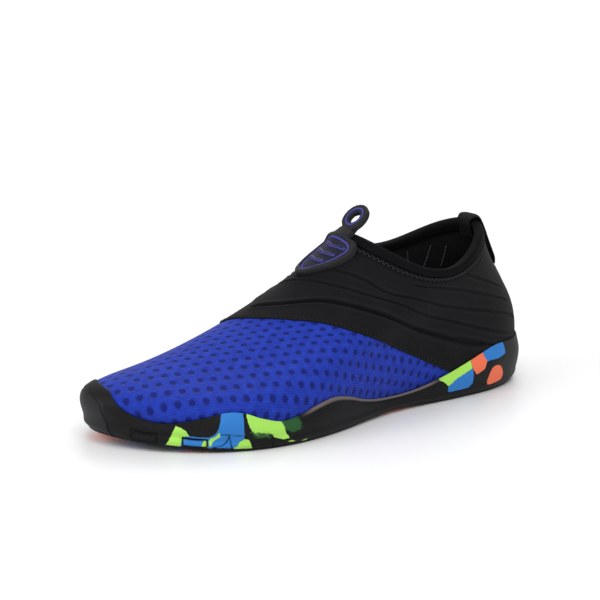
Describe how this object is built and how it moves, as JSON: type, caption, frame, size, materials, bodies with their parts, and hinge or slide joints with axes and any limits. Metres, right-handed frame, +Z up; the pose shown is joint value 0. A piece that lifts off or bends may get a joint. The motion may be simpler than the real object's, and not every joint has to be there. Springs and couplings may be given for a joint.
{
  "type": "water shoe",
  "caption": "Slip-on water shoe with a low elastic collar, a mesh vamp, a knit quarter, a moulded instep tab with a pull ring, a heel pull loop and a flexible cup sole with a wavy edge.",
  "frame": {"origin": "on the floor under the middle of the heel, at the flat spot that the heel rests on", "axes": "+X toward the toe, +Y toward the wearer's left, which is the outer side of this left shoe, +Z up"},
  "size_m": [0.2607, 0.0956, 0.1012],
  "materials": {
    "upper_knit": "black elastic knit quarter with a royal blue air-mesh vamp",
    "sole_rubber": "soft matt black rubber with moulded-in colour patches at forefoot and heel",
    "insole_foam": "black fabric-covered foam",
    "edge_binding": "black elastic binding",
    "tab_rubber": "soft moulded rubber with a dull blue field",
    "webbing": "black ribbed webbing",
    "heel_tape_fabric": "black seam tape"
  },
  "bodies": {
    "root": {"upper": "upper_knit", "outsole": "sole_rubber", "insole": "insole_foam", "collar_binding": "edge_binding", "instep_tab": "tab_rubber", "heel_pull_loop": "webbing", "heel_tape": "heel_tape_fabric"}
  },
  "joints": []
}
